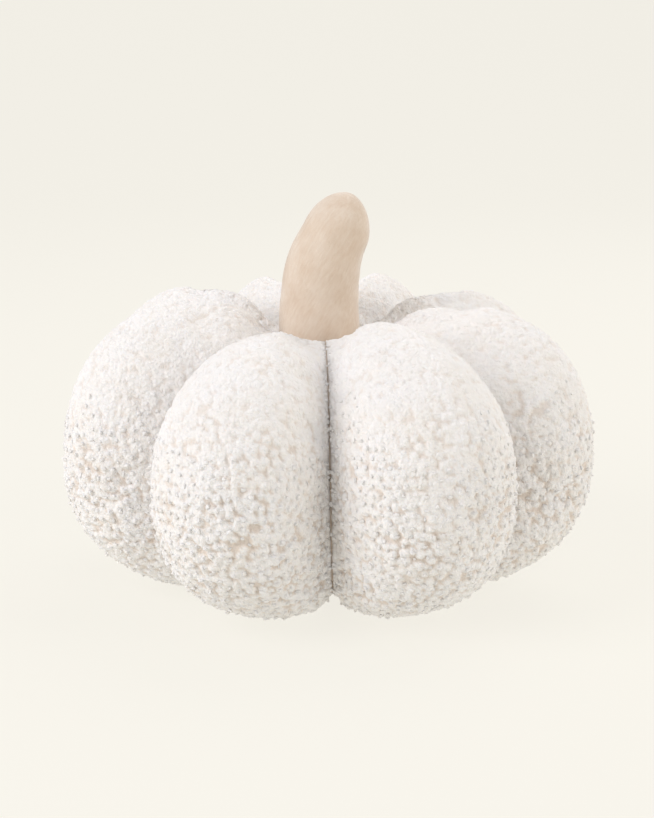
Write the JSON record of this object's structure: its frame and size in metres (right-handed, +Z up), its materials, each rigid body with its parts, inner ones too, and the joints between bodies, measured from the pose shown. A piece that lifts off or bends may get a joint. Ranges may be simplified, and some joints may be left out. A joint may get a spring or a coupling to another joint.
{
  "type": "pumpkin-shaped cushion",
  "caption": "Filled cushion in the shape of a pumpkin, in curly pile cloth, drawn in between its sewn lobes, with a stuffed, bent cloth stem on top.",
  "frame": {"origin": "middle of the footprint, on the surface that the cushion stands on", "axes": "+Z up through the stem; -Y towards the front, where a sewn channel runs down the middle; +X to the right seen from the front"},
  "size_m": [0.358, 0.3466, 0.2689],
  "materials": {
    "curly_pile_cloth": "off-white curly pile, soft and matte",
    "brushed_stem_cloth": "beige, short brushed nap, matte"
  },
  "bodies": {
    "root": {"cushion_body": "curly_pile_cloth", "stem": "brushed_stem_cloth"}
  },
  "joints": []
}
